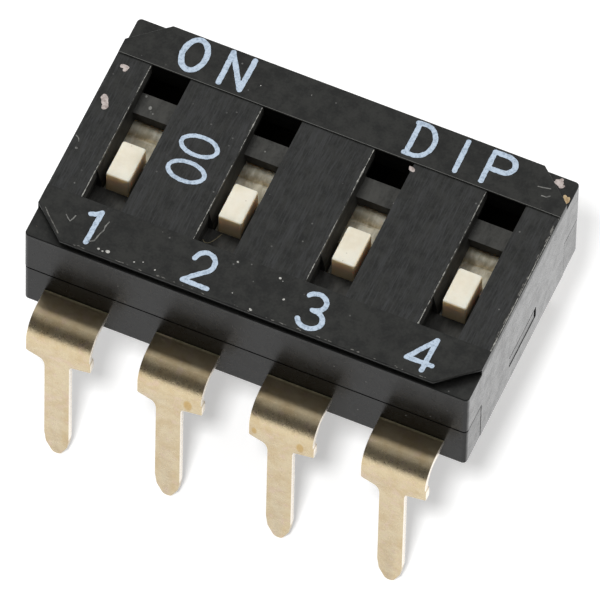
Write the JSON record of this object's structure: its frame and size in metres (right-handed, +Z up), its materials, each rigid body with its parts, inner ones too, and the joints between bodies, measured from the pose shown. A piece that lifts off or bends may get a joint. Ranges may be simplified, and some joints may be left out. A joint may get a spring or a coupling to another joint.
{
  "type": "dip switch",
  "caption": "Slide DIP switch with recessed actuators in a black housing and two rows of gold-plated through-hole pins.",
  "frame": {"origin": "plan centre of the housing, level with the tips of the pins", "axes": "+X from position 1 to position 4, +Y towards the ON side, +Z up out of the slots"},
  "size_m": [0.01, 0.0078, 0.0066],
  "materials": {
    "black_cover": "black glass-filled nylon, brushed recess, printed strips, satin end walls",
    "black_base": "black glass-filled nylon, satin",
    "cream_plastic": "unpainted cream plastic, slightly translucent, satin",
    "gold_plate": "pale gold plate on copper alloy, polished on the bends, satin on the blades",
    "contact_gold": "gold-plated spring strip"
  },
  "bodies": {
    "housing": {"cover": "black_cover", "base": "black_base", "front_terminal_1": "gold_plate", "front_terminal_2": "gold_plate", "front_terminal_3": "gold_plate", "front_terminal_4": "gold_plate", "rear_terminal_1": "gold_plate", "rear_terminal_2": "gold_plate", "rear_terminal_3": "gold_plate", "rear_terminal_4": "gold_plate"},
    "switch_1": {"slider_1": "cream_plastic", "moving_contact_1": "contact_gold"},
    "switch_2": {"slider_2": "cream_plastic", "moving_contact_2": "contact_gold"},
    "switch_3": {"slider_3": "cream_plastic", "moving_contact_3": "contact_gold"},
    "switch_4": {"slider_4": "cream_plastic", "moving_contact_4": "contact_gold"}
  },
  "joints": [
    {"name": "slide_1", "type": "slide", "parent": "housing", "child": "switch_1", "axis": [0, 1, 0], "range_m": [0, 0.00076]},
    {"name": "slide_2", "type": "slide", "parent": "housing", "child": "switch_2", "axis": [0, 1, 0], "range_m": [0, 0.00076]},
    {"name": "slide_3", "type": "slide", "parent": "housing", "child": "switch_3", "axis": [0, 1, 0], "range_m": [0, 0.00076]},
    {"name": "slide_4", "type": "slide", "parent": "housing", "child": "switch_4", "axis": [0, 1, 0], "range_m": [0, 0.00076]}
  ]
}
